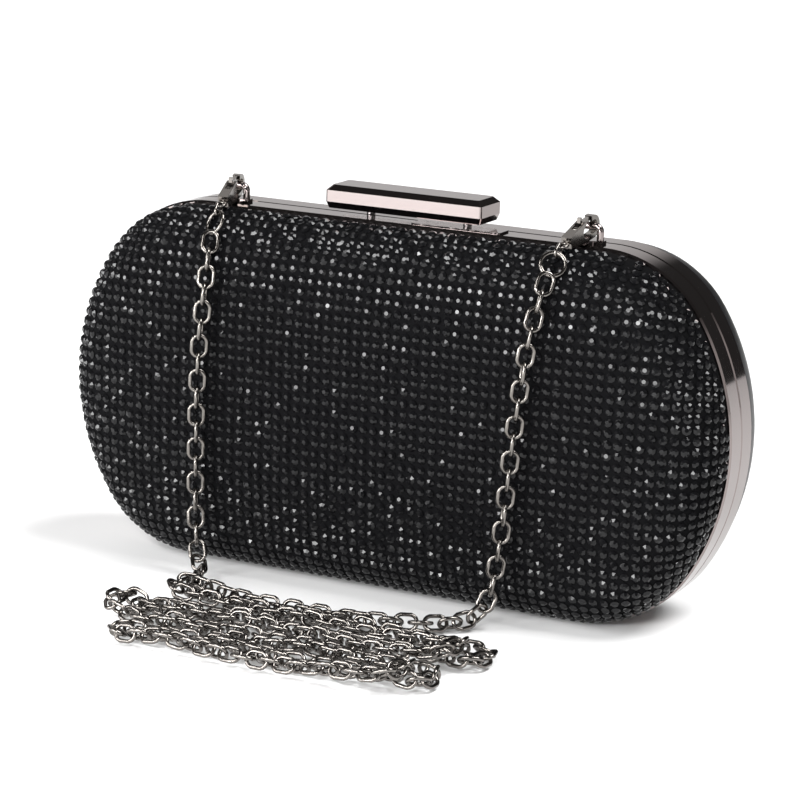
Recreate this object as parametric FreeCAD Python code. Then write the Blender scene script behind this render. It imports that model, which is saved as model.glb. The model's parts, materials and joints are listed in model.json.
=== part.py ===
import FreeCAD, Part
import math
import os

# Evening bag: a hard oval box clutch on a two-part metal frame, standing on its long edge.
# Frame of reference: +Z up, X along the bag, -Y to the front; the origin is on the floor, under the
# seam between the two frame halves, at the middle of the bag. Millimetres throughout.

Vec = FreeCAD.Vector
X_AXIS = Vec(1, 0, 0)
Y_AXIS = Vec(0, 1, 0)
Z_AXIS = Vec(0, 0, 1)

# outline of the bag, seen from the front
HALF_LENGTH = 100.0
HALF_HEIGHT = 51.5
CORNER_R = 34.0
END_R = 66.0
END_X = HALF_LENGTH - END_R
CORNER_Z = HALF_HEIGHT - CORNER_R
CORNER_X = END_X + math.sqrt((END_R - CORNER_R) ** 2 - CORNER_Z ** 2)
END_ANGLE = math.degrees(math.atan2(CORNER_Z, CORNER_X - END_X))
TOP_Z = 2 * HALF_HEIGHT

# metal frame halves
FRAME_T = 1.8
FRAME_Y = 7.8
SEAM_HALF = 0.15
SEAM_CHAMFER = 0.4
EDGE_CHAMFER = 0.5
INNER_TOP = TOP_Z - FRAME_T

# domed body: profile of one half, n inward from the outline, y outward from the seam
BODY_INSET = 1.0
BODY_DEPTH = 26.0
SHOULDER_R = 14.0
CROWN_R = 100.0
FLAT_INSET = 33.0
COVER_T = 0.8
SHELL_T = 1.6
LINING_T = 0.6
SHELL_RIM_Y = 4.6

# hinge at the bottom of the frame
OPEN_ANGLE = 50.0
HINGE_Z = 1.5
HINGE_X = 35.0
KNUCKLE_R = 1.4
PIN_R = 0.70
PIN_PLAY = 0.05
FRONT_KNUCKLE = 2.4
REAR_KNUCKLE_A = 2.7
REAR_KNUCKLE_B = 5.7
NOTCH_HALF_X = 6.0
NOTCH_Y = 1.8
LEAF_T = 0.8
LEAF_FAR_Y = 4.3
LEAF_Z = FRAME_T
PIN_HALF = 5.7
LEAF_RIVET_DX = 3.8
LEAF_RIVET_Y = 3.1
LEAF_RIVET_R = 0.5
RIVET_HEAD_R = 0.85
RIVET_HEAD_T = 0.4

# push bar clasp on the rear half
BAR_HALF_X = 24.0
BAR_Y0 = -6.5
BAR_Y1 = 6.2
BAR_Z0 = 104.8
BAR_Z1 = 111.3
BAR_BEVEL = 1.5
BAR_FOOT_H = 1.8
BAR_FOOT_INSET = 0.6
BAR_CORNER_R = 0.8
PRESS_TRAVEL = 1.2
PLUNGER_X = 15.0
PLUNGER_Y = 4.2
PLUNGER_R = 1.2
PLUNGER_PLAY = 0.05
PLATE_Z0 = 98.0
PLATE_T = 0.8
PLATE_HALF_X = 17.5
PLATE_Y0 = 1.6
PLATE_Y1 = 5.9
LIP_X0 = 3.5
LIP_X1 = 12.5
LIP_T = 1.0
LIP_TOP = 99.9
HOUSING_HALF_X = 21.0
HOUSING_Y0 = 1.0
HOUSING_Y1 = 7.0
HOUSING_Z0 = 92.0
HOUSING_WALL = 0.8
SPRING_COIL_R = 1.5
SPRING_WIRE_R = 0.25
SPRING_TURNS = 3.5
SPRING_SIDES = 8
SPRING_BEND = 1.1
HOUSING_RIVET_X = 18.9
HOUSING_LUG_T = 0.8

# catch on the front half
CATCH_X0 = 3.0
CATCH_X1 = 30.0
CATCH_T = 0.5
CATCH_Y0 = -7.2
CATCH_Y1 = -0.7
TONGUE_X0 = 4.0
TONGUE_X1 = 12.0
TONGUE_Z0 = 100.2
TONGUE_T = 0.6
TONGUE_END_Y = 3.8
TOOTH_T = 0.8
TOOTH_Z0 = 99.1
PAD_Y0 = -4.3
PAD_Y1 = -0.5
CATCH_RIVET_Y = -2.5
CATCH_RIVET_R = 0.6

# slip pocket on the rear lining
POCKET_HALF_X = 42.0
POCKET_Z0 = 34.0
POCKET_Z1 = 66.0
POCKET_T = 0.5
POCKET_CORNER_R = 5.0

# chain loops on the front half
LOOP_X = 54.5
LOOP_Y = -2.4
LOOP_WIRE_R = 1.0
LOOP_HALF = 3.0
LOOP_BAR_Z = 107.6
LOOP_CORNER_R = 1.6
LOOP_BASE_T = 0.8
LOOP_BASE_R = 2.2
LOOP_SHANK_R = 1.0
LOOP_NUT_R = 2.0
LOOP_NUT_T = 1.4

# snap clips at the ends of the chain: u runs along the clip, w across it
CLIP_DROP = 13.2
CLIP_YAW = {-1: 11.8, 1: 5.8}
HOOK_R = 3.1
HOOK_BORE = 1.8
HOOK_LEN = 5.0
HOOK_T = 2.2
CLIP_T = 3.0
CLIP_END_U = 13.2
CLIP_END_W = 1.5
GATE_U0 = 1.2
GATE_U1 = 6.4
GATE_W0 = 1.85
GATE_W1 = 3.0
GATE_T = 1.0
GATE_GAP = 0.4
PIVOT_U = 7.6
PIVOT_W = 1.3
PIVOT_R = 0.5
PIVOT_PLAY = 0.05
EAR_R = 1.0
SLOT_T = 1.6
SWIVEL_U = 15.0
SWIVEL_R = 1.3
SWIVEL_WIRE_R = 0.4
NECK_U0 = 11.6
LINK_WIRE_R = 0.4
LINK_LEN = 4.0
LINK_HALF_W = 1.2
LINK_DIP = 38.0
LINK_TURN = {-1: -16.0, 1: 0.0}
RING_R = 3.3
RING_WIRE_R = 0.55
WIRE_GAP = 0.03
RING_DIP = 55.0
RING_TURN = {-1: -36.0, 1: 25.0}

# cable chain
CHAIN_D = 5.0
LEFT_ROUTE = [
    Vec(-50.0, -24.3, 97.2),
    Vec(-47.9, -30.5, 86.0),
    Vec(-50.4, -30.6, 60.0),
    Vec(-50.0, -30.5, 10.0),
    Vec(-44.6, -36.2, 2.8),
    Vec(-41.0, -44.0, 2.7),
]
RIGHT_ROUTE = [
    Vec(52.3, -24.3, 97.2),
    Vec(50.9, -30.5, 86.5),
    Vec(47.3, -30.6, 58.0),
    Vec(43.4, -30.4, 10.0),
    Vec(39.6, -34.6, 2.8),
    Vec(33.0, -41.0, 2.7),
]
HEAP_LOW = [(-44, -41), (-36, -41), (-22, -47), (12, -46), (30, -37), (40, -37), (50, -48), (56, -58),
            (52, -70), (54, -84), (50, -94), (44, -98), (-12, -99), (-47, -90), (-50, -84), (-43, -66)]
HEAP_HIGH = [(-37, -56), (38, -54), (46, -62), (45, -88), (36, -93), (-12, -93), (-40, -84)]
HEAP_LOW_Z = 5.2
HEAP_HIGH_Z = 8.6


def at_angle(cx, cz, radius, degrees, y):
    a = math.radians(degrees)
    return Vec(cx + radius * math.cos(a), y, cz + radius * math.sin(a))


def outline(inset, y):
    """The bag's closed outline at an inset, in the plane at y."""
    top = TOP_Z - inset
    corner = CORNER_R - inset
    end = END_R - inset
    edges = []
    mid = (90 + END_ANGLE) / 2
    up = HALF_HEIGHT + CORNER_Z
    low = HALF_HEIGHT - CORNER_Z
    arcs = [
        (CORNER_X, up, corner, 90, mid, END_ANGLE),
        (END_X, HALF_HEIGHT, end, END_ANGLE, 0, -END_ANGLE),
        (CORNER_X, low, corner, -END_ANGLE, -mid, -90),
        (-CORNER_X, low, corner, -90, -180 + mid, -180 + END_ANGLE),
        (-END_X, HALF_HEIGHT, end, -180 + END_ANGLE, 180, 180 - END_ANGLE),
        (-CORNER_X, up, corner, 180 - END_ANGLE, 180 - mid, 90),
    ]
    for cx, cz, radius, a, b, c in arcs:
        points = [at_angle(cx, cz, radius, k, y) for k in (a, b, c)]
        edges.append(Part.Arc(points[0], points[1], points[2]).toShape())
    edges.append(Part.makeLine(Vec(-CORNER_X, y, top), Vec(CORNER_X, y, top)))
    edges.append(Part.makeLine(Vec(CORNER_X, y, inset), Vec(-CORNER_X, y, inset)))
    return Part.Wire(Part.__sortEdges__(edges))


def slab(inset, y0, y1):
    """A plate with the bag's outline at an inset, between two depths."""
    return Part.Face(outline(inset, y0)).extrude(Vec(0, y1 - y0, 0))


def ring(face):
    """Carries a profile face, drawn at the start of the top straight, once round the outline."""
    turn = 90 - END_ANGLE
    upper = Vec(CORNER_X, 0, HALF_HEIGHT + CORNER_Z)
    side = Vec(END_X, 0, HALF_HEIGHT)
    straight = face.extrude(Vec(2 * CORNER_X, 0, 0))
    start = face.translated(Vec(2 * CORNER_X, 0, 0))
    corner = start.revolve(upper, Y_AXIS, turn)
    turned = start.copy()
    turned.rotate(upper, Y_AXIS, turn)
    end = turned.revolve(side, Y_AXIS, 2 * END_ANGLE)
    lower = corner.mirror(Vec(0, 0, HALF_HEIGHT), Z_AXIS)
    half = [corner, end, lower]
    other = [piece.mirror(Vec(0, 0, 0), X_AXIS) for piece in half]
    bottom = straight.mirror(Vec(0, 0, HALF_HEIGHT), Z_AXIS)
    return straight.multiFuse(half + other + [bottom]).removeSplitter()


def profile_face(edges):
    """A face from edges drawn as (n, y), set at the start of the top straight."""
    return Part.Face(Part.Wire(Part.__sortEdges__(edges)))


def prof(n, y):
    return Vec(-CORNER_X, y, TOP_Z - n)


def body_edges(offset, rim_y):
    """Side wall, shoulder and crown of the domed body at an offset inward, from rim to flat."""
    shoulder_n = BODY_INSET + SHOULDER_R
    crown_y = BODY_DEPTH - CROWN_R
    reach = CROWN_R - SHOULDER_R
    across = FLAT_INSET - shoulder_n
    shoulder_y = crown_y + math.sqrt(reach ** 2 - across ** 2)
    lean = math.atan2(across, shoulder_y - crown_y)
    radius = SHOULDER_R - offset
    crown = CROWN_R - offset
    rim = prof(BODY_INSET + offset, rim_y)
    wall = prof(BODY_INSET + offset, shoulder_y)
    half = (math.pi / 2 + lean) / 2
    middle = prof(shoulder_n - radius * math.sin(half), shoulder_y + radius * math.cos(half))
    join = prof(shoulder_n - radius * math.sin(lean), shoulder_y + radius * math.cos(lean))
    rise = prof(FLAT_INSET - crown * math.sin(lean / 2), crown_y + crown * math.cos(lean / 2))
    flat = prof(FLAT_INSET, BODY_DEPTH - offset)
    edges = [Part.makeLine(rim, wall)]
    edges.append(Part.Arc(wall, middle, join).toShape())
    edges.append(Part.Arc(join, rise, flat).toShape())
    return edges, rim, flat


def dome(outer, inner, rim_y):
    """One layer of the domed half on the +Y side, between two offsets."""
    edges_a, rim_a, flat_a = body_edges(outer, rim_y)
    edges_b, rim_b, flat_b = body_edges(inner, rim_y)
    edges = edges_a + edges_b
    edges.append(Part.makeLine(rim_a, rim_b))
    edges.append(Part.makeLine(flat_a, flat_b))
    walls = ring(profile_face(edges))
    panel = slab(FLAT_INSET, BODY_DEPTH - inner, BODY_DEPTH - outer)
    return walls.fuse(panel).removeSplitter()


def to_front(shape):
    return shape.mirror(Vec(0, 0, 0), Y_AXIS)


def box(x0, x1, y0, y1, z0, z1):
    return Part.makeBox(x1 - x0, y1 - y0, z1 - z0, Vec(x0, y0, z0))


def rod(radius, start, end):
    along = end - start
    return Part.makeCylinder(radius, along.Length, start, along)


def frame_half():
    """One frame half on the +Y side: a band with a small seam groove, relieved along the hinge."""
    points = [
        (SEAM_CHAMFER, SEAM_HALF),
        (0, SEAM_HALF + SEAM_CHAMFER),
        (0, FRAME_Y - EDGE_CHAMFER),
        (EDGE_CHAMFER, FRAME_Y),
        (FRAME_T, FRAME_Y),
        (FRAME_T, SEAM_HALF),
        (SEAM_CHAMFER, SEAM_HALF),
    ]
    wire = Part.makePolygon([prof(n, y) for n, y in points])
    band = ring(Part.Face(wire))
    back = SEAM_HALF + HINGE_Z * math.tan(math.radians(OPEN_ANGLE / 2 + 0.5))
    below = 1.0
    slope = back + below * math.tan(math.radians(OPEN_ANGLE / 2 + 0.5))
    corners = [(0, HINGE_Z), (SEAM_HALF, HINGE_Z), (slope, -below), (0, -below), (0, HINGE_Z)]
    wedge = Part.Face(Part.makePolygon([Vec(-HALF_LENGTH, y, z) for y, z in corners]))
    band = band.cut(wedge.extrude(Vec(2 * HALF_LENGTH, 0, 0)))
    for side in (-1, 1):
        x = side * HINGE_X
        band = band.cut(box(x - NOTCH_HALF_X, x + NOTCH_HALF_X, -1, NOTCH_Y, -1, HINGE_Z + 3))
    return band


def leaf_rivets(sign):
    """Rivet shanks with heads that hold the two hinge leaves of one half."""
    pieces = []
    for side in (-1, 1):
        for step in (-1, 1):
            x = side * HINGE_X + step * LEAF_RIVET_DX
            foot = Vec(x, sign * LEAF_RIVET_Y, 0)
            top = Vec(x, sign * LEAF_RIVET_Y, LEAF_Z + LEAF_T)
            shank = rod(LEAF_RIVET_R, foot, top)
            head = rod(RIVET_HEAD_R, top, top + Z_AXIS * RIVET_HEAD_T)
            pieces.append(shank.fuse(head))
    return Part.makeCompound(pieces)


def knuckle(x0, x1):
    return rod(KNUCKLE_R, Vec(x0, 0, HINGE_Z), Vec(x1, 0, HINGE_Z))


def hinge_leaf(x, sign):
    """A hinge leaf with its knuckles; the front leaf has one knuckle and the rear leaf two."""
    y_far = sign * LEAF_FAR_Y
    y_near = sign * NOTCH_Y
    low, high = sorted((y_far, y_near))
    z1 = LEAF_Z + LEAF_T
    leaf = box(x - REAR_KNUCKLE_B, x + REAR_KNUCKLE_B, low, high, LEAF_Z, z1)
    if sign < 0:
        spans = [(-FRONT_KNUCKLE, FRONT_KNUCKLE)]
        bore = PIN_R
    else:
        spans = [(-REAR_KNUCKLE_B, -REAR_KNUCKLE_A), (REAR_KNUCKLE_A, REAR_KNUCKLE_B)]
        bore = PIN_R + PIN_PLAY
    for a, b in spans:
        near, far = sorted((0, y_near))
        leaf = leaf.fuse(box(x + a, x + b, near, far, LEAF_Z, z1))
        leaf = leaf.fuse(knuckle(x + a, x + b))
    hole = rod(bore, Vec(x - 10, 0, HINGE_Z), Vec(x + 10, 0, HINGE_Z))
    return leaf.cut(hole).removeSplitter()


def bar_outline(inset, z):
    """Rounded rectangle of the bar at one height."""
    x = BAR_HALF_X - inset - BAR_CORNER_R
    low = BAR_Y0 + inset + BAR_CORNER_R
    high = BAR_Y1 - inset - BAR_CORNER_R
    centres = [Vec(x, high, z), Vec(-x, high, z), Vec(-x, low, z), Vec(x, low, z)]
    arcs = [Part.makeCircle(BAR_CORNER_R, c, Z_AXIS, 90 * i, 90 * i + 90) for i, c in enumerate(centres)]
    edges = []
    for arc, following in zip(arcs, arcs[1:] + arcs[:1]):
        start = arc.valueAt(arc.LastParameter)
        end = following.valueAt(following.FirstParameter)
        edges += [arc, Part.makeLine(start, end)]
    return Part.Wire(edges)


def chamfered_bar():
    """Bar with a bevelled top edge and a steeper bevel round its foot."""
    levels = (
        (BAR_FOOT_INSET, BAR_Z0),
        (0, BAR_Z0 + BAR_FOOT_H),
        (0, BAR_Z1 - BAR_BEVEL),
        (BAR_BEVEL, BAR_Z1),
    )
    return Part.makeLoft([bar_outline(inset, z) for inset, z in levels], True, True)


def plungers():
    pieces = []
    for side in (-1, 1):
        foot = Vec(side * PLUNGER_X, PLUNGER_Y, PLATE_Z0 + PLATE_T)
        pieces.append(rod(PLUNGER_R, foot, Vec(foot.x, foot.y, BAR_Z0)))
    return Part.makeCompound(pieces)


def latch_plate():
    """Plate hung on the plungers, with the lip that holds the catch tooth."""
    z1 = PLATE_Z0 + PLATE_T
    plate = box(-PLATE_HALF_X, PLATE_HALF_X, PLATE_Y0, PLATE_Y1, PLATE_Z0, z1)
    return plate.fuse(box(LIP_X0, LIP_X1, PLATE_Y0, PLATE_Y0 + LIP_T, z1, LIP_TOP))


def housing():
    """Open-fronted tray under the rear frame that guides the latch plate."""
    t = HOUSING_WALL
    outer = box(-HOUSING_HALF_X, HOUSING_HALF_X, HOUSING_Y0, HOUSING_Y1, HOUSING_Z0, INNER_TOP)
    inner = box(-HOUSING_HALF_X + t, HOUSING_HALF_X - t, HOUSING_Y0 - 1, HOUSING_Y1 - t,
                HOUSING_Z0 + t, INNER_TOP + 1)
    tray = outer.cut(inner)
    for side in (-1, 1):
        a, b = sorted((side * (HOUSING_HALF_X - t), side * (PLATE_HALF_X + 0.4)))
        tray = tray.fuse(box(a, b, HOUSING_Y0 + 1, HOUSING_Y1 - t, INNER_TOP - HOUSING_LUG_T, INNER_TOP))
    return tray.removeSplitter()


def housing_rivets():
    pieces = []
    for side in (-1, 1):
        x = side * HOUSING_RIVET_X
        low = Vec(x, PLUNGER_Y, INNER_TOP - HOUSING_LUG_T)
        shank = rod(CATCH_RIVET_R, low, Vec(x, PLUNGER_Y, TOP_Z))
        head = rod(RIVET_HEAD_R, low - Z_AXIS * RIVET_HEAD_T, low)
        pieces.append(shank.fuse(head))
    return Part.makeCompound(pieces)


def clasp_springs():
    """Two compression springs between the tray floor and the latch plate."""
    low = HOUSING_Z0 + HOUSING_WALL + SPRING_WIRE_R + 0.05
    high = PLATE_Z0 - SPRING_WIRE_R - 0.05
    steps = int(SPRING_TURNS * SPRING_SIDES)
    pieces = []
    for side in (-1, 1):
        points = []
        for k in range(steps + 1):
            a = 2 * math.pi * k / SPRING_SIDES
            x = side * PLUNGER_X + SPRING_COIL_R * math.cos(a)
            y = PLUNGER_Y - 0.4 + SPRING_COIL_R * math.sin(a)
            points.append(Vec(x, y, low + (high - low) * k / steps))
        pieces.append(bent_rod(points, SPRING_WIRE_R, SPRING_BEND))
    return Part.makeCompound(pieces)


def catch_plate():
    plate = box(CATCH_X0, CATCH_X1, CATCH_Y0, CATCH_Y1, TOP_Z, TOP_Z + CATCH_T)
    upright = [e for e in plate.Edges if e.BoundBox.ZLength > CATCH_T / 2]
    return plate.makeFillet(0.8, upright)


def catch_tongue():
    """Tongue riveted inside the front frame; its tooth hangs behind the latch lip."""
    top = TONGUE_Z0 + TONGUE_T
    tongue = box(TONGUE_X0, TONGUE_X1, PAD_Y0, TONGUE_END_Y, TONGUE_Z0, top)
    tooth = box(TONGUE_X0, TONGUE_X1, TONGUE_END_Y - TOOTH_T, TONGUE_END_Y, TOOTH_Z0, TONGUE_Z0)
    pad = box(TONGUE_X0, TONGUE_X1, PAD_Y0, PAD_Y1, top, INNER_TOP)
    return tongue.fuse([tooth, pad]).removeSplitter()


def catch_rivets():
    pieces = []
    for x in (TONGUE_X0 + 2, TONGUE_X1 - 2):
        low = Vec(x, CATCH_RIVET_Y, TONGUE_Z0)
        shank = rod(CATCH_RIVET_R, low, Vec(x, CATCH_RIVET_Y, TOP_Z + CATCH_T))
        head = rod(RIVET_HEAD_R, low - Z_AXIS * RIVET_HEAD_T, low)
        pieces.append(shank.fuse(head))
    return Part.makeCompound(pieces)


def pocket():
    y1 = BODY_DEPTH - COVER_T - SHELL_T - LINING_T
    patch = box(-POCKET_HALF_X, POCKET_HALF_X, y1 - POCKET_T, y1, POCKET_Z0, POCKET_Z1)
    crosswise = [e for e in patch.Edges if e.BoundBox.YLength > POCKET_T / 2]
    lower = [e for e in crosswise if e.BoundBox.ZMax < POCKET_Z0 + 1]
    return patch.makeFillet(POCKET_CORNER_R, lower)


def bent_rod(points, radius, bend):
    """A rod along straight runs joined by arcs of one bend radius."""
    edges = []
    start = points[0]
    for a, b, c in zip(points, points[1:], points[2:]):
        u = (a - b).normalize()
        v = (c - b).normalize()
        half = u.getAngle(v) / 2
        cut = bend / math.tan(half)
        first = b + u * cut
        last = b + v * cut
        inward = (u + v).normalize()
        middle = b + inward * (bend / math.sin(half) - bend)
        edges.append(Part.makeLine(start, first))
        edges.append(Part.Arc(first, middle, last).toShape())
        start = last
    edges.append(Part.makeLine(start, points[-1]))
    section = Part.Wire(Part.makeCircle(radius, points[0], points[1] - points[0]))
    return Part.Wire(edges).makePipeShell([section], True, True)


def chain_loop(side):
    """Staple-shaped loop on a round base, with a shank through the frame."""
    x = side * LOOP_X
    base_z = TOP_Z + LOOP_BASE_T
    points = [
        Vec(x - LOOP_HALF, LOOP_Y, TOP_Z),
        Vec(x - LOOP_HALF, LOOP_Y, LOOP_BAR_Z),
        Vec(x + LOOP_HALF, LOOP_Y, LOOP_BAR_Z),
        Vec(x + LOOP_HALF, LOOP_Y, TOP_Z),
    ]
    staple = bent_rod(points, LOOP_WIRE_R, LOOP_CORNER_R)
    base = rod(LOOP_BASE_R, Vec(x, LOOP_Y, TOP_Z), Vec(x, LOOP_Y, base_z))
    strip = box(x - LOOP_HALF - 1.2, x + LOOP_HALF + 1.2, LOOP_Y - 1.4, LOOP_Y + 1.4, TOP_Z, base_z)
    shank = rod(LOOP_SHANK_R, Vec(x, LOOP_Y, INNER_TOP - LOOP_NUT_T), Vec(x, LOOP_Y, TOP_Z))
    return staple.fuse([base, strip, shank]).removeSplitter()


def loop_nut(side):
    low = Vec(side * LOOP_X, LOOP_Y, INNER_TOP - LOOP_NUT_T)
    corners = []
    for k in range(7):
        a = math.radians(60 * k)
        corners.append(low + Vec(LOOP_NUT_R * math.cos(a), LOOP_NUT_R * math.sin(a), 0))
    nut = Part.Face(Part.makePolygon(corners)).extrude(Z_AXIS * LOOP_NUT_T)
    return nut.cut(rod(LOOP_SHANK_R, low - Z_AXIS, low + Z_AXIS * 4))


def uw(u, w, x=0):
    """A point on the clip: u towards its tail, w up across it."""
    return Vec(x, -u, w)


def clip_place(shape, side):
    """Tips a clip piece forward over the shoulder, turns it inward and hangs it on its loop."""
    placed = shape.copy()
    placed.rotate(Vec(0, 0, 0), X_AXIS, CLIP_DROP)
    placed.rotate(Vec(0, 0, 0), Z_AXIS, -side * CLIP_YAW[side])
    return placed.translated(Vec(side * LOOP_X, LOOP_Y, LOOP_BAR_Z))


def plate_uw(points, thickness):
    wire = Part.makePolygon([uw(u, w, -thickness / 2) for u, w in points + points[:1]])
    return Part.Face(wire).extrude(Vec(thickness, 0, 0))


def slot_uw(u0, u1, radius, thickness):
    """A long hole or its outline: two round ends joined by straight sides."""
    a = rod(radius, uw(u0, 0, -thickness / 2), uw(u0, 0, thickness / 2))
    b = rod(radius, uw(u1, 0, -thickness / 2), uw(u1, 0, thickness / 2))
    middle = plate_uw([(u0, -radius), (u1, -radius), (u1, radius), (u0, radius)], thickness)
    return a.fuse([b, middle])


def clip_body():
    hook = slot_uw(0, HOOK_LEN, HOOK_R, HOOK_T)
    shoulder = [(3.8, -HOOK_R), (CLIP_END_U, -CLIP_END_W), (CLIP_END_U, CLIP_END_W), (3.8, HOOK_R)]
    body = hook.fuse(plate_uw(shoulder, CLIP_T))
    body = body.cut(slot_uw(0, HOOK_LEN - 0.4, HOOK_BORE, CLIP_T + 1))
    u0 = GATE_U0 - GATE_GAP
    bore_end = HOOK_LEN - 0.4
    mouth = [(u0, 0.5), (bore_end, 0.5), (bore_end, 6), (u0, 6)]
    body = body.cut(plate_uw(mouth, CLIP_T + 1))
    slot_end = PIVOT_U + EAR_R + 0.35
    slot = [(HOOK_LEN - 1, -0.1), (slot_end, -0.1), (slot_end, 6), (HOOK_LEN - 1, 6)]
    body = body.cut(plate_uw(slot, SLOT_T))
    body = body.cut(rod(PIVOT_R, uw(PIVOT_U, PIVOT_W, -3), uw(PIVOT_U, PIVOT_W, 3)))
    body = body.cut(rod(SWIVEL_WIRE_R, uw(NECK_U0, 0), uw(CLIP_END_U + 1, 0)))
    return body.removeSplitter()


def clip_trigger():
    """Gate lever that closes the hook, with an ear round the pin and a thumb tab."""
    gate = plate_uw([(GATE_U0, GATE_W0), (PIVOT_U, GATE_W0 - 0.4), (PIVOT_U, GATE_W1 - 0.8),
                     (GATE_U1, GATE_W1), (GATE_U0, GATE_W1)], GATE_T)
    tab = plate_uw([(4.6, GATE_W1 - 0.2), (6.2, GATE_W1 - 0.2), (5.9, 4.3), (5.2, 4.3)], GATE_T)
    ear = rod(EAR_R, uw(PIVOT_U, PIVOT_W, -GATE_T / 2), uw(PIVOT_U, PIVOT_W, GATE_T / 2))
    lever = gate.fuse([tab, ear])
    bore = rod(PIVOT_R + PIVOT_PLAY, uw(PIVOT_U, PIVOT_W, -3), uw(PIVOT_U, PIVOT_W, 3))
    return lever.cut(bore).removeSplitter()


def clip_pin():
    half = CLIP_T / 2
    return rod(PIVOT_R, uw(PIVOT_U, PIVOT_W, -half), uw(PIVOT_U, PIVOT_W, half))


def clip_swivel():
    eye = Part.makeTorus(SWIVEL_R, SWIVEL_WIRE_R, uw(SWIVEL_U, 0), Z_AXIS)
    neck = rod(SWIVEL_WIRE_R, uw(NECK_U0, 0), uw(SWIVEL_U - SWIVEL_R, 0))
    return eye.fuse(neck).removeSplitter()


def dipped(start, dip, distance):
    """A point at a distance along a direction that dips forward, in the clip's upright plane."""
    a = math.radians(dip)
    return start + Vec(0, -math.cos(a), -math.sin(a)) * distance


def link_start():
    """The near end of the connector link, which passes through the swivel eye."""
    far = uw(SWIVEL_U + SWIVEL_R, 0)
    return dipped(far, LINK_DIP - CLIP_DROP, -(SWIVEL_WIRE_R + LINK_WIRE_R + WIRE_GAP))


def connector_link(turn):
    """Small oval link from the swivel eye to the jump ring, turned about its own length."""
    start = link_start()
    dip = LINK_DIP - CLIP_DROP
    a = dipped(start, dip, LINK_HALF_W)
    b = dipped(start, dip, LINK_LEN - LINK_HALF_W)
    along = (b - a).normalize()
    across = X_AXIS.cross(along) * LINK_HALF_W
    edges = [
        Part.makeLine(a + across, b + across),
        Part.Arc(b + across, b + along * LINK_HALF_W, b - across).toShape(),
        Part.makeLine(b - across, a - across),
        Part.Arc(a - across, a - along * LINK_HALF_W, a + across).toShape(),
    ]
    section = Part.Wire(Part.makeCircle(LINK_WIRE_R, a + across, along))
    link = Part.Wire(edges).makePipeShell([section], True, True)
    link.rotate(a, along, -turn)
    return link


def jump_ring(turn):
    """Round ring hanging from the connector link, turned about its upright, and its lowest point."""
    start = link_start()
    top = dipped(start, LINK_DIP - CLIP_DROP, LINK_LEN - LINK_WIRE_R - RING_WIRE_R - WIRE_GAP)
    centre = dipped(top, RING_DIP - CLIP_DROP, RING_R)
    along = (centre - top).normalize()
    ring_shape = Part.makeTorus(RING_R, RING_WIRE_R, centre, X_AXIS.cross(along))
    ring_shape.rotate(centre, along, -turn)
    return ring_shape, centre + along * RING_R


def cord_tube(name, route):
    """A round tube on straight runs joined by tangent arcs; prints its radii and volume."""
    edges = []
    start = route[0]
    length = 0.0
    radii = []
    for a, b, c in zip(route, route[1:], route[2:]):
        u = (a - b).normalize()
        v = (c - b).normalize()
        half = u.getAngle(v) / 2
        cut = 0.45 * min((a - b).Length, (c - b).Length)
        radius = cut * math.tan(half)
        first = b + u * cut
        last = b + v * cut
        middle = b + (u + v).normalize() * (radius / math.sin(half) - radius)
        edges.append(Part.makeLine(start, first))
        edges.append(Part.Arc(first, middle, last).toShape())
        length += (first - start).Length + radius * (math.pi - 2 * half)
        radii.append(round(radius, 1))
        start = last
    edges.append(Part.makeLine(start, route[-1]))
    length += (route[-1] - start).Length
    section = Part.Wire(Part.makeCircle(CHAIN_D / 2, route[0], route[1] - route[0]))
    tube = Part.Wire(edges).makePipeShell([section], True, True)
    share = tube.Volume / (math.pi * CHAIN_D ** 2 / 4 * length)
    print(name, "length", round(length, 1), "radii", radii, "volume share", round(share, 4))
    return tube


def prism(points, height):
    corners = [Vec(x, y, 0) for x, y in points + points[:1]]
    return Part.Face(Part.makePolygon(corners)).extrude(Z_AXIS * height)


def chain_heap():
    heap = prism(HEAP_LOW, HEAP_LOW_Z).fuse(prism(HEAP_HIGH, HEAP_HIGH_Z))
    return heap.removeSplitter()


def body_layers():
    lining_edge = COVER_T + SHELL_T
    cover = dome(0, COVER_T, FRAME_Y)
    shell = dome(COVER_T, lining_edge, SHELL_RIM_Y)
    lining = dome(lining_edge, lining_edge + LINING_T, SHELL_RIM_Y)
    return cover, shell, lining


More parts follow.
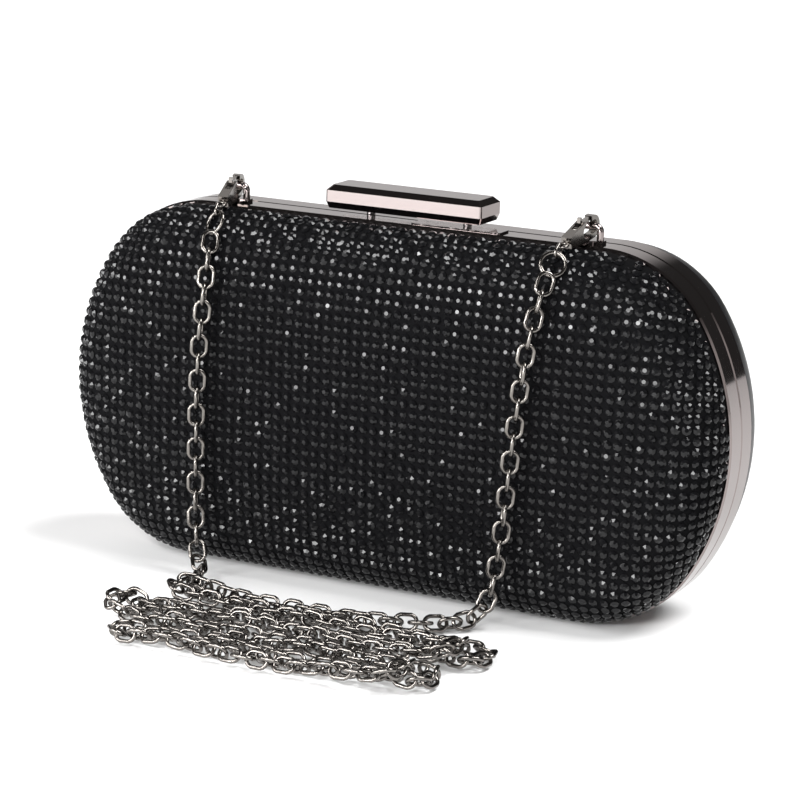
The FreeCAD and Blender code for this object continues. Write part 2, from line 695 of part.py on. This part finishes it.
def main():
    nodes = {}
    cover, shell, lining = body_layers()
    band = frame_half()
    hinge_bits = {}
    for sign, half in ((-1, "front"), (1, "rear")):
        rivets = leaf_rivets(sign)
        hinge_bits[half] = rivets
        nodes[half + "_hinge_rivets"] = rivets
        for side, where in ((-1, "left"), (1, "right")):
            leaf = hinge_leaf(side * HINGE_X, sign)
            nodes[half + "_hinge_leaf_" + where] = leaf.cut(rivets)

    room = box(-HOUSING_HALF_X, HOUSING_HALF_X, HOUSING_Y0, HOUSING_Y1, HOUSING_Z0, INNER_TOP)
    tray_rivets = housing_rivets()
    rear_frame = band.cut(hinge_bits["rear"]).cut(tray_rivets)
    for side in (-1, 1):
        low = Vec(side * PLUNGER_X, PLUNGER_Y, INNER_TOP - 1)
        rear_frame = rear_frame.cut(rod(PLUNGER_R + PLUNGER_PLAY, low, low + Z_AXIS * 5))
    nodes["rear_frame"] = rear_frame
    nodes["rear_shell"] = shell.cut(room)
    nodes["rear_cover"] = cover
    nodes["rear_lining"] = lining.cut(room)
    nodes["inner_pocket"] = pocket()
    nodes["clasp_housing"] = housing().cut(tray_rivets)
    nodes["housing_rivets"] = tray_rivets
    nodes["clasp_springs"] = clasp_springs()
    nodes["clasp_bar"] = chamfered_bar()
    nodes["clasp_plungers"] = plungers()
    nodes["latch_plate"] = latch_plate()

    rivets = catch_rivets()
    loops = {}
    front_frame = to_front(band).cut(hinge_bits["front"]).cut(rivets)
    front_shell = to_front(shell)
    front_lining = to_front(lining)
    for side, where in ((-1, "left"), (1, "right")):
        loop = chain_loop(side)
        nut = loop_nut(side)
        loops[where] = loop
        front_frame = front_frame.cut(loop)
        low = Vec(side * LOOP_X, LOOP_Y, INNER_TOP - LOOP_NUT_T)
        clear = rod(LOOP_NUT_R + 0.3, low - Z_AXIS * 2, low + Z_AXIS * LOOP_NUT_T)
        front_shell = front_shell.cut(clear)
        front_lining = front_lining.cut(clear)
        nodes[where + "_chain_loop"] = loop
        nodes[where + "_loop_nut"] = nut
    nodes["front_frame"] = front_frame
    nodes["front_shell"] = front_shell
    nodes["front_cover"] = to_front(cover)
    nodes["front_lining"] = front_lining
    nodes["catch_plate"] = catch_plate().cut(rivets)
    nodes["catch_tongue"] = catch_tongue().cut(rivets)
    nodes["catch_rivets"] = rivets

    for side, where in ((-1, "left"), (1, "right")):
        x = side * HINGE_X
        pin_ends = [Vec(x + end, 0, HINGE_Z) for end in (-PIN_HALF, PIN_HALF)]
        nodes["hinge_pin_" + where] = rod(PIN_R, *pin_ends)
        nodes[where + "_clip_body"] = clip_place(clip_body(), side)
        nodes[where + "_clip_trigger"] = clip_place(clip_trigger(), side)
        nodes[where + "_clip_pin"] = clip_place(clip_pin(), side)
        nodes[where + "_clip_swivel"] = clip_place(clip_swivel(), side)
        nodes[where + "_connector_link"] = clip_place(connector_link(LINK_TURN[side]), side)
        ring_shape, ring_foot = jump_ring(RING_TURN[side])
        nodes[where + "_jump_ring"] = clip_place(ring_shape, side)
        foot = clip_place(Part.Vertex(ring_foot), side).Point
        print(where, "ring foot", [round(v, 3) for v in foot])
        pivot = clip_place(Part.Vertex(uw(PIVOT_U, PIVOT_W)), side).Point
        print(where, "trigger pivot", [round(v, 3) for v in pivot])

    nodes["left_chain_strand"] = cord_tube("left_chain_strand", LEFT_ROUTE)
    nodes["right_chain_strand"] = cord_tube("right_chain_strand", RIGHT_ROUTE)
    nodes["chain_heap"] = chain_heap()

    os.makedirs("parts", exist_ok=True)
    for name, shape in nodes.items():
        if not shape.isValid():
            print("NOT VALID", name)
        shape.exportStep("parts/" + name + ".step")
    print(len(nodes), "nodes")


main()
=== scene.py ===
import json
import math
import random

import bpy
from mathutils import Matrix, Vector


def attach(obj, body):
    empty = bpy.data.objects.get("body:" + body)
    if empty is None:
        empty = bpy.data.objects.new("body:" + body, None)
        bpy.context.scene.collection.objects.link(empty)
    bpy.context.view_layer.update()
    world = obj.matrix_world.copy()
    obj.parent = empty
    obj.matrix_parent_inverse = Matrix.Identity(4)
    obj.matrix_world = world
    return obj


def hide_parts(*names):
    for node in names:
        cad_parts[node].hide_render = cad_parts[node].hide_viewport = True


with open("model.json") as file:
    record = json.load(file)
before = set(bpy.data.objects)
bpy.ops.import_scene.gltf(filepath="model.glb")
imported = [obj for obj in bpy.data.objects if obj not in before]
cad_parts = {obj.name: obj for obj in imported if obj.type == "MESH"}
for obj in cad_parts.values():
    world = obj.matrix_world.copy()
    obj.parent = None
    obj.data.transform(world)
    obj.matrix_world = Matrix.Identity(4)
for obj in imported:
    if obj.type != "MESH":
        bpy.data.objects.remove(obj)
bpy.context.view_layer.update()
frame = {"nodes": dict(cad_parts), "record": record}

NODES = frame["nodes"]

# outline and profile of the bag, in metres
HALF_LENGTH = 0.100
HALF_HEIGHT = 0.0515
CORNER_R = 0.034
END_R = 0.066
END_X = HALF_LENGTH - END_R
CORNER_Z = HALF_HEIGHT - CORNER_R
CORNER_X = END_X + math.sqrt((END_R - CORNER_R) ** 2 - CORNER_Z ** 2)
BODY_INSET = 0.001
BODY_DEPTH = 0.026
SHOULDER_R = 0.014
CROWN_R = 0.100
FLAT_INSET = 0.033
RIM_Y = 0.0078

# camera: angles in degrees, places in metres
CAMERA_AZIMUTH = 26.434
CAMERA_ELEVATION = 13.571
CAMERA_ROLL = 1.888
CAMERA_TARGET = Vector((0, 0, 0.050))
CAMERA_DISTANCE = 0.811241
SENSOR_WIDTH = 36
LENS_RATIO = 3.60686
CAMERA_SHIFT = (-0.00768, 0.00707)

# stones: STONE_TABLE is a share of a stone's radius, STONE_GIRDLE shares of its radius and height
STONE_PITCH = 0.0030
STONE_R = 0.00138
STONE_TABLE = 0.42
STONE_H = 0.00078
STONE_GAP = 0.00262
STONE_SIDES = 8
STONE_GIRDLE = (0.97, 0.30)
# most stones sit nearly straight and the rest lean more, so that single stones glint
STONE_LEAN = 0.020
STONE_LOOSE_LEAN = 0.13
STONE_EVEN_SHARE = 0.66
STONE_SIZES = (0.94, 1.03)
STONE_HEIGHTS = (0.9, 1.1)
STONE_SIDEWAYS = Vector((0.3, 0.2, 1.0))
STONE_RIM = 0.9
STONE_SEED = 3
GRID_MARGIN = 0.03
# columns and rows on each side of the middle that are laid first, before the grid turns the rim
GRID_CORE = (22, 7)
PROFILE_STEP = 0.0001

# chain: links lie TAUT_PITCH apart where it hangs and SLACK_PITCH apart on the floor
LINK_STEP = 0.0002
TAUT_PITCH = 0.0049
SLACK_PITCH = 0.0040
LINK_WIRE = 0.00058
LINK_ROUND = 0.0021
LINK_STRAIGHT = 0.00095
LINK_STEPS = 16
LINK_SIDES = 7
LINK_SEED = 5
LINE_STEP = 0.002
HANG_SLOPE = 0.7
HANG_TWIST = 0.12
SLACK_TURN = math.pi / 4
SLACK_TWIST = 0.45
SPLINE_DETAIL = 24
HANG_FACE = Vector((0.44, -0.90, 0.0))
LEFT_ROUTE = [
    (-0.0500, -0.0243, 0.0972),
    (-0.0479, -0.0305, 0.0860),
    (-0.0504, -0.0306, 0.0600),
    (-0.0500, -0.0305, 0.0100),
    (-0.0446, -0.0362, 0.0028),
    (-0.0410, -0.0440, 0.0027),
]
RIGHT_ROUTE = [
    (0.0523, -0.0243, 0.0972),
    (0.0509, -0.0305, 0.0865),
    (0.0473, -0.0306, 0.0580),
    (0.0434, -0.0304, 0.0100),
    (0.0396, -0.0346, 0.0028),
    (0.0330, -0.0410, 0.0027),
]

# folds of the heap: row, where it starts and ends, and the place and height of the turn after it
HEAP_FOLDS = [
    (8, -0.036, 0.049, 0.0555, 0.0028),
    (6, 0.049, -0.037, -0.0430, 0.0028),
    (4, -0.037, 0.045, 0.0510, 0.0028),
    (2, 0.045, -0.031, -0.0375, 0.0030),
    (1, -0.029, 0.039, 0.0460, 0.0070),
    (3, 0.040, -0.040, -0.0462, 0.0070),
    (5, -0.040, 0.043, 0.0500, 0.0070),
    (7, 0.043, -0.034, -0.0400, 0.0064),
]
HEAP_IN = [(-0.0400, -0.0500, 0.0030)]
HEAP_OUT = [
    (-0.0320, -0.0520, 0.0046),
    (-0.0230, -0.0508, 0.0028),
    (-0.0120, -0.0502, 0.0027),
    (-0.0023, -0.0509, 0.0027),
    (0.0067, -0.0498, 0.0027),
    (0.0162, -0.0485, 0.0027),
    (0.0255, -0.0445, 0.0027),
]
HEAP_FLOOR = 0.0028
HEAP_FIRST_Y = -0.0945
HEAP_PITCH = 0.0056
HEAP_ODD_RISE = 0.0006
HEAP_LIFTS = (0.0, 0.0, 0.0005, 0.0016)
HEAP_WANDER = 0.0011
HEAP_SPACING = (0.008, 0.012)
HEAP_ROW_END = 0.003
HEAP_SEED = 11

# soft panels of the studio: direction, outer and inner half angle in degrees, strength
CARDS = [
    ((-0.43, 0.52, 0.74), 30, 14, 0.9),
    ((-0.43, 0.87, 0.20), 26, 12, 0.68),
    ((-0.75, -0.60, 0.20), 38, 20, 0.38),
    ((0.97, -0.15, 0.22), 26, 14, 0.8),
]
WORLD_BASE = 0.05
WORLD_COLOR = (1.0, 0.985, 0.98, 1)

# lamps about the bag: direction and power in watts
LAMPS = [
    ((-0.43, -0.57, 0.70), 2.8),
    ((-0.75, -0.55, 0.37), 2.5),
    ((-0.10, -0.80, 0.59), 2.2),
    ((0.25, -0.85, 0.46), 3.6),
    ((-0.35, -0.90, 0.10), 2.5),
    ((0.10, -0.98, -0.01), 2.7),
]
LAMP_MIDDLE = Vector((0, -0.03, 0.05))
LAMP_REACH = 1.15
LAMP_SIZE = 0.24
GLOW_PLACE = (-0.27, -0.58, 0.30)
GLOW_TARGET = (-0.27, -0.58, 0.0)
GLOW_SIZE = 0.5
GLOW_WATTS = 1.4
SUN_STRENGTH = 3.7
SUN_ANGLE = 32
SUN_AIM = Vector((-0.45, -0.15, -0.88))
STRIP_SIZE = (2.2, 0.20)
STRIP_WATTS = 30
STRIP_PLACE = (-0.55, -1.5, 0.41)
STRIP_TARGET = Vector((0, 0, 0.06))
FLOOR_SIZE = 24
FLOOR_Z = -0.0001


# ---------------------------------------------------------------- camera
def make_camera():
    az, el, roll = (math.radians(a) for a in (CAMERA_AZIMUTH, CAMERA_ELEVATION, CAMERA_ROLL))
    back = Vector((math.sin(az) * math.cos(el), -math.cos(az) * math.cos(el), math.sin(el)))
    right = (-back).cross(Vector((0, 0, 1))).normalized()
    up = back.cross(right)
    x = right * math.cos(roll) + up * math.sin(roll)
    y = -right * math.sin(roll) + up * math.cos(roll)
    data = bpy.data.cameras.new("camera")
    data.sensor_width = SENSOR_WIDTH
    data.lens = SENSOR_WIDTH * LENS_RATIO
    data.shift_x, data.shift_y = CAMERA_SHIFT
    data.clip_start = 0.05
    data.clip_end = 60
    cam = bpy.data.objects.new("camera", data)
    place = CAMERA_TARGET + back * CAMERA_DISTANCE
    cam.matrix_world = Matrix((
        (x.x, y.x, back.x, place.x),
        (x.y, y.y, back.y, place.y),
        (x.z, y.z, back.z, place.z),
        (0, 0, 0, 1),
    ))
    bpy.context.scene.collection.objects.link(cam)
    bpy.context.scene.camera = cam


# ---------------------------------------------------------------- materials
def principled(name, color, metallic=0.0, roughness=0.5, specular=0.5):
    mat = bpy.data.materials.new(name)
    mat.use_nodes = True
    b = mat.node_tree.nodes["Principled BSDF"]
    b.inputs["Base Color"].default_value = (*color, 1)
    b.inputs["Metallic"].default_value = metallic
    b.inputs["Roughness"].default_value = roughness
    b.inputs["Specular IOR Level"].default_value = specular
    b.inputs["IOR"].default_value = 1.5
    return mat


def add_bump(mat, scale, strength, distance):
    """A fine cloth grain."""
    nt = mat.node_tree
    coord = nt.nodes.new("ShaderNodeTexCoord")
    noise = nt.nodes.new("ShaderNodeTexNoise")
    noise.inputs["Scale"].default_value = scale
    noise.inputs["Detail"].default_value = 3.0
    bump = nt.nodes.new("ShaderNodeBump")
    bump.inputs["Strength"].default_value = strength
    bump.inputs["Distance"].default_value = distance
    nt.links.new(coord.outputs["Object"], noise.inputs["Vector"])
    nt.links.new(noise.outputs["Fac"], bump.inputs["Height"])
    nt.links.new(bump.outputs["Normal"], nt.nodes["Principled BSDF"].inputs["Normal"])


def mottle(mat, low, high, scale):
    """A base colour that wanders between two colours."""
    nt = mat.node_tree
    coord = nt.nodes.new("ShaderNodeTexCoord")
    noise = nt.nodes.new("ShaderNodeTexNoise")
    noise.inputs["Scale"].default_value = scale
    ramp = nt.nodes.new("ShaderNodeValToRGB")
    ramp.color_ramp.elements[0].position = 0.35
    ramp.color_ramp.elements[1].position = 0.65
    ramp.color_ramp.elements[0].color = (*low, 1)
    ramp.color_ramp.elements[1].color = (*high, 1)
    nt.links.new(coord.outputs["Object"], noise.inputs["Vector"])
    nt.links.new(noise.outputs["Fac"], ramp.inputs["Fac"])
    nt.links.new(ramp.outputs["Color"], nt.nodes["Principled BSDF"].inputs["Base Color"])


def make_materials():
    cover_fabric = principled("cover_fabric", (0.0028, 0.0028, 0.0032), 0.0, 0.85, 0.05)
    cover_satin = principled("cover_satin", (0.010, 0.010, 0.011), 0.0, 0.38, 0.35)
    lining_satin = principled("lining_satin", (0.02, 0.02, 0.02), 0.0, 0.42, 0.5)
    add_bump(cover_fabric, 1800.0, 0.35, 0.0002)
    add_bump(cover_satin, 1500.0, 0.15, 0.0001)
    add_bump(lining_satin, 900.0, 0.25, 0.0002)
    mottle(lining_satin, (0.014, 0.014, 0.016), (0.026, 0.026, 0.029), 120.0)
    return {
        "gunmetal": principled("gunmetal", (0.25, 0.216, 0.210), 1.0, 0.08),
        "chain_metal": principled("chain_metal", (0.165, 0.153, 0.142), 1.0, 0.17),
        "steel": principled("steel", (0.42, 0.40, 0.40), 1.0, 0.30),
        "spring_steel": principled("spring_steel", (0.50, 0.50, 0.50), 1.0, 0.28),
        "shell_board": principled("shell_board", (0.020, 0.020, 0.020), 0.0, 0.55),
        "studded_cover": cover_fabric,
        "plain_cover": cover_satin,
        "lining": lining_satin,
        "jet": principled("jet_glass", (0.004, 0.004, 0.0045), 0.0, 0.07, 0.24),
    }


def dress_nodes(mats):
    slots = {s["node"]: s["material_slot"] for s in frame["record"]["subparts"]}
    for name, o in NODES.items():
        o.data.materials.clear()
        o.data.materials.append(mats[slots[name]])


# ---------------------------------------------------------------- stones
def profile(t):
    """A point (n, y) and its outward normal (n, y) at arc length t from the edge of the flat front."""
    shoulder_n = BODY_INSET + SHOULDER_R
    crown_y = BODY_DEPTH - CROWN_R
    reach = CROWN_R - SHOULDER_R
    across = FLAT_INSET - shoulder_n
    shoulder_y = crown_y + math.sqrt(reach ** 2 - across ** 2)
    lean = math.atan2(across, shoulder_y - crown_y)
    crown_len = CROWN_R * lean
    arc_len = SHOULDER_R * (math.pi / 2 - lean)
    if t <= crown_len:
        a = t / CROWN_R
        return FLAT_INSET - CROWN_R * math.sin(a), crown_y + CROWN_R * math.cos(a), -math.sin(a), math.cos(a)
    if t <= crown_len + arc_len:
        a = lean + (t - crown_len) / SHOULDER_R
        return (shoulder_n - SHOULDER_R * math.sin(a), shoulder_y + SHOULDER_R * math.cos(a),
                -math.sin(a), math.cos(a))
    rest = t - crown_len - arc_len
    return BODY_INSET, shoulder_y - rest, -1.0, 0.0


def profile_length():
    t = 0.0
    while profile(t)[1] > RIM_Y:
        t += PROFILE_STEP
    return t


def flat_foot(x, z):
    """Outward distance of (x, z) from the flat front's outline, with the foot and the direction there."""
    sx, sz = (1 if x >= 0 else -1), (1 if z >= 0 else -1)
    x, z = abs(x), abs(z)
    corner = CORNER_R - FLAT_INSET
    end = END_R - FLAT_INSET
    if x <= CORNER_X:
        top = CORNER_Z + corner
        inside_end = END_X + math.sqrt(max(end ** 2 - z ** 2, 0)) if z < end else 0
        if z <= top and x <= inside_end:
            return -1.0, x * sx, z * sz, 0.0, 0.0
        if z > top:
            return z - top, x * sx, top * sz, 0.0, float(sz)
    angle = math.atan2(z, x - END_X)
    limit = math.atan2(CORNER_Z, CORNER_X - END_X)
    if angle <= limit and x > END_X:
        r = math.hypot(x - END_X, z)
        ux, uz = (x - END_X) / r, z / r
        return r - end, (END_X + end * ux) * sx, end * uz * sz, ux * sx, uz * sz
    r = math.hypot(x - CORNER_X, z - CORNER_Z)
    if r < 1e-9:
        return -1.0, x * sx, z * sz, 0.0, 0.0
    ux, uz = (x - CORNER_X) / r, (z - CORNER_Z) / r
    return r - corner, (CORNER_X + corner * ux) * sx, (CORNER_Z + corner * uz) * sz, ux * sx, uz * sz


def on_dome(x, z, length):
    """The place and normal on the front dome of a point of the flat grid, or None past the rim."""
    t, fx, fz, ux, uz = flat_foot(x, z)
    if t <= 0:
        return Vector((x, -BODY_DEPTH, HALF_HEIGHT + z)), Vector((0, -1, 0))
    if t > length - STONE_R * STONE_RIM:
        return None
    n, y, nn, ny = profile(t)
    out = FLAT_INSET - n
    place = Vector((fx + ux * out, -y, HALF_HEIGHT + fz + uz * out))
    return place, Vector((-nn * ux, -ny, -nn * uz)).normalized()


def stone_points():
    """Places and normals of the stones, on a square grid laid over the front dome."""
    length = profile_length()
    columns = int((HALF_LENGTH + GRID_MARGIN) / STONE_PITCH)
    rows = int((HALF_HEIGHT + GRID_MARGIN) / STONE_PITCH)
    grid = {}
    found = []
    order = [(i, j) for j in range(-rows, rows + 1) for i in range(-columns, columns + 1)]
    order.sort(key=lambda c: max(abs(c[0]) - GRID_CORE[0], 0) + max(abs(c[1]) - GRID_CORE[1], 0))
    for i, j in order:
        made = on_dome(i * STONE_PITCH, j * STONE_PITCH, length)
        if made is None:
            continue
        place, normal = made
        cell = tuple(int(math.floor(c / STONE_GAP)) for c in place)
        near = False
        for dx in (-1, 0, 1):
            for dy in (-1, 0, 1):
                for dz in (-1, 0, 1):
                    for other in grid.get((cell[0] + dx, cell[1] + dy, cell[2] + dz), ()):
                        near = near or (other - place).length < STONE_GAP
        if near:
            continue
        grid.setdefault(cell, []).append(place)
        found.append((place, normal))
    return found


def make_stones(name):
    """All the faceted stones as one mesh."""
    rng = random.Random(STONE_SEED)
    verts, faces = [], []
    for place, normal in stone_points():
        amount = STONE_LEAN if rng.random() < STONE_EVEN_SHARE else STONE_LOOSE_LEAN
        lean = Vector([rng.gauss(0, 1) for _ in range(3)]) * amount
        up = (normal + lean).normalized()
        side = up.cross(STONE_SIDEWAYS).normalized()
        other = up.cross(side)
        turn = rng.uniform(0, 2 * math.pi)
        size = STONE_R * rng.uniform(*STONE_SIZES)
        height = STONE_H * rng.uniform(*STONE_HEIGHTS)
        base = len(verts)
        girdle = (size * STONE_GIRDLE[0], height * STONE_GIRDLE[1])
        rings = ((size, 0.0), girdle, (size * STONE_TABLE, height))
        for radius, rise in rings:
            for k in range(STONE_SIDES):
                a = turn + 2 * math.pi * k / STONE_SIDES
                p = place + up * rise + side * (radius * math.cos(a)) + other * (radius * math.sin(a))
                verts.append((p.x, p.y, p.z))
        for ring in (0, 1):
            for k in range(STONE_SIDES):
                a = base + ring * STONE_SIDES + k
                b = base + ring * STONE_SIDES + (k + 1) % STONE_SIDES
                faces.append((a, b, b + STONE_SIDES, a + STONE_SIDES))
        faces.append(tuple(base + 2 * STONE_SIDES + k for k in range(STONE_SIDES)))
    mesh = bpy.data.meshes.new(name)
    mesh.from_pydata(verts, [], faces)
    obj = bpy.data.objects.new(name, mesh)
    bpy.context.scene.collection.objects.link(obj)
    return obj


# ---------------------------------------------------------------- chain
def row_y(row):
    return HEAP_FIRST_Y + HEAP_PITCH * (row - 1)


def heap_route():
    """Folds of the chain on the floor, from the left strand round to the right one."""
    rng = random.Random(HEAP_SEED)
    points = list(HEAP_IN)
    for k, (row, x0, x1, turn_x, turn_z) in enumerate(HEAP_FOLDS):
        step = 1 if x1 > x0 else -1
        base = HEAP_FLOOR + (HEAP_ODD_RISE if row % 2 else 0.0)
        x = x0
        while (x1 - x) * step > HEAP_ROW_END:
            wander = rng.uniform(-HEAP_WANDER, HEAP_WANDER)
            points.append((x, row_y(row) + wander, base + rng.choice(HEAP_LIFTS)))
            x += step * rng.uniform(*HEAP_SPACING)
        last = k == len(HEAP_FOLDS) - 1
        next_y = HEAP_OUT[0][1] if last else row_y(HEAP_FOLDS[k + 1][0])
        points.append((x1, row_y(row), (HEAP_FLOOR + turn_z) / 2))
        points.append((turn_x, row_y(row), turn_z))
        points.append((turn_x, next_y, turn_z))
    return points + HEAP_OUT


def chain_path():
    """Points along the chain's own line, read from a smooth curve through its route."""
    route = LEFT_ROUTE + heap_route() + RIGHT_ROUTE[::-1]
    data = bpy.data.curves.new("chain_line", "CURVE")
    data.dimensions = "3D"
    data.resolution_u = SPLINE_DETAIL
    spline = data.splines.new("NURBS")
    spline.points.add(len(route) - 1)
    for p, c in zip(spline.points, route):
        p.co = (*c, 1)
    spline.order_u = 3
    spline.use_endpoint_u = True
    obj = bpy.data.objects.new("chain_line", data)
    bpy.context.scene.collection.objects.link(obj)
    bpy.context.view_layer.update()
    mesh = bpy.data.meshes.new_from_object(obj.evaluated_get(bpy.context.evaluated_depsgraph_get()))
    points = [v.co.copy() for v in mesh.vertices]
    bpy.data.objects.remove(obj)
    bpy.data.meshes.remove(mesh)
    return points


def resample(points, step):
    """Points at even steps along a polyline, with the total length."""
    total = sum((b - a).length for a, b in zip(points, points[1:]))
    count = int(round(total / step))
    step = total / count
    out = [points[0].copy()]
    target, walked = step, 0.0
    for a, b in zip(points, points[1:]):
        length = (b - a).length
        while length > 0 and walked + length >= target - 1e-9 and len(out) <= count:
            out.append(a.lerp(b, (target - walked) / length))
            target += step
        walked += length
    return out, total


def link_mesh(verts, faces, centre, along, flat):
    """One oval wire link: along is its long way, flat its short way in its own plane."""
    normal = along.cross(flat).normalized()
    base = len(verts)
    for k in range(LINK_STEPS):
        a = 2 * math.pi * (k + 0.5) / LINK_STEPS
        shift = LINK_STRAIGHT * (1 if math.cos(a) > 0 else -1)
        mid = centre + along * (shift + LINK_ROUND * math.cos(a)) + flat * (LINK_ROUND * math.sin(a))
        out = (along * math.cos(a) + flat * math.sin(a)).normalized()
        for s in range(LINK_SIDES):
            b = 2 * math.pi * s / LINK_SIDES
            p = mid + out * (LINK_WIRE * math.cos(b)) + normal * (LINK_WIRE * math.sin(b))
            verts.append((p.x, p.y, p.z))
    for k in range(LINK_STEPS):
        here = base + k * LINK_SIDES
        after = base + ((k + 1) % LINK_STEPS) * LINK_SIDES
        for s in range(LINK_SIDES):
            a = here + s
            b = here + (s + 1) % LINK_SIDES
            c = after + (s + 1) % LINK_SIDES
            d = after + s
            faces.append((a, d, c, b))


def link_ends(path):
    """Where the links meet: far apart where the chain hangs, closer where it lies slack."""
    fine, _ = resample(path, LINK_STEP)
    done = [0.0]
    for a, b in zip(fine, fine[1:]):
        run = b - a
        hangs = abs(run.z) > HANG_SLOPE * run.length
        done.append(done[-1] + run.length / (TAUT_PITCH if hangs else SLACK_PITCH))
    count = 2 * round((done[-1] - 1) / 2) + 1
    ends = []
    for point, links in zip(fine, done):
        if links * count / done[-1] >= len(ends) - 1e-6:
            ends.append(point)
    return ends


def make_chain(path):
    """The chain's links as one mesh, and its line and length."""
    rng = random.Random(LINK_SEED)
    nodes = link_ends(path)
    line, total = resample(path, LINE_STEP)
    verts, faces = [], []
    for k, (a, b) in enumerate(zip(nodes, nodes[1:])):
        along = (b - a).normalized()
        hangs = abs(along.z) > HANG_SLOPE
        side = along.cross(HANG_FACE if hangs else Vector((0, 0, 1))).normalized()
        other = along.cross(side).normalized()
        turn = 0 if k % 2 == 0 else math.pi / 2
        if hangs:
            turn += rng.uniform(-HANG_TWIST, HANG_TWIST)
        else:
            turn += SLACK_TURN + rng.uniform(-SLACK_TWIST, SLACK_TWIST)
        flat = side * math.cos(turn) + other * math.sin(turn)
        link_mesh(verts, faces, (a + b) / 2, along, flat)
    mesh = bpy.data.meshes.new("chain_links")
    mesh.from_pydata(verts, [], faces)
    for p in mesh.polygons:
        p.use_smooth = True
    obj = bpy.data.objects.new("chain_links", mesh)
    bpy.context.scene.collection.objects.link(obj)
    return obj, line, total


# ---------------------------------------------------------------- stage
def make_floor():
    bpy.ops.mesh.primitive_plane_add(size=FLOOR_SIZE, location=(0, 0, FLOOR_Z))
    floor = bpy.context.object
    floor.name = "floor"
    floor.data.materials.append(principled("floor_paper", (0.86, 0.86, 0.86), 0.0, 0.9, 0.1))


def area_light(name, place, target, size, watts):
    data = bpy.data.lights.new(name, "AREA")
    data.shape = "DISK"
    data.size = size
    data.energy = watts
    obj = bpy.data.objects.new(name, data)
    obj.location = place
    aim = Vector(target) - Vector(place)
    obj.rotation_euler = aim.to_track_quat("-Z", "Y").to_euler()
    bpy.context.scene.collection.objects.link(obj)


def make_world():
    """A dim studio with soft bright panels in set directions."""
    world = bpy.data.worlds.new("studio")
    bpy.context.scene.world = world
    world.use_nodes = True
    nt = world.node_tree
    coord = nt.nodes.new("ShaderNodeTexCoord")
    total = None
    for direction, outer, inner, value in CARDS:
        dot = nt.nodes.new("ShaderNodeVectorMath")
        dot.operation = "DOT_PRODUCT"
        dot.inputs[1].default_value = Vector(direction).normalized()
        nt.links.new(coord.outputs["Generated"], dot.inputs[0])
        ramp = nt.nodes.new("ShaderNodeMapRange")
        ramp.interpolation_type = "SMOOTHSTEP"
        ramp.inputs["From Min"].default_value = math.cos(math.radians(outer))
        ramp.inputs["From Max"].default_value = math.cos(math.radians(inner))
        ramp.inputs["To Min"].default_value = 0.0
        ramp.inputs["To Max"].default_value = value
        nt.links.new(dot.outputs["Value"], ramp.inputs["Value"])
        if total is None:
            total = ramp.outputs["Result"]
        else:
            add = nt.nodes.new("ShaderNodeMath")
            nt.links.new(total, add.inputs[0])
            nt.links.new(ramp.outputs["Result"], add.inputs[1])
            total = add.outputs[0]
    add = nt.nodes.new("ShaderNodeMath")
    add.inputs[1].default_value = WORLD_BASE
    nt.links.new(total, add.inputs[0])
    nt.links.new(add.outputs[0], nt.nodes["Background"].inputs["Strength"])
    nt.nodes["Background"].inputs["Color"].default_value = WORLD_COLOR


def make_sun():
    data = bpy.data.lights.new("sun", "SUN")
    data.energy = SUN_STRENGTH
    data.angle = math.radians(SUN_ANGLE)
    obj = bpy.data.objects.new("sun", data)
    obj.rotation_euler = SUN_AIM.to_track_quat("-Z", "Y").to_euler()
    bpy.context.scene.collection.objects.link(obj)


def make_strip():
    """A long low panel in front, for the sparkle rows and the chain."""
    data = bpy.data.lights.new("strip", "AREA")
    data.shape = "RECTANGLE"
    data.size, data.size_y = STRIP_SIZE
    data.energy = STRIP_WATTS
    obj = bpy.data.objects.new("strip", data)
    obj.location = STRIP_PLACE
    obj.rotation_euler = (STRIP_TARGET - obj.location).to_track_quat("-Z", "Z").to_euler()
    bpy.context.scene.collection.objects.link(obj)


def make_lights():
    make_sun()
    make_strip()
    for k, (direction, watts) in enumerate(LAMPS):
        place = LAMP_MIDDLE + Vector(direction).normalized() * LAMP_REACH
        area_light("lamp_" + str(k), place, LAMP_MIDDLE, LAMP_SIZE, watts)
    area_light("floor_glow", GLOW_PLACE, GLOW_TARGET, GLOW_SIZE, GLOW_WATTS)


def main():
    make_camera()
    mats = make_materials()
    dress_nodes(mats)
    path = chain_path()
    chain, line, total = make_chain(path)
    chain.data.materials.append(mats["chain_metal"])
    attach(chain, "front_half")
    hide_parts("left_chain_strand", "right_chain_strand", "chain_heap")
    stones = make_stones("front_stones")
    stones.data.materials.append(mats["jet"])
    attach(stones, "front_half")
    make_floor()
    make_world()
    make_lights()
    scene = bpy.context.scene
    scene.view_settings.view_transform = "Standard"
    scene.view_settings.look = "None"
    scene.view_settings.exposure = 0.0


main()
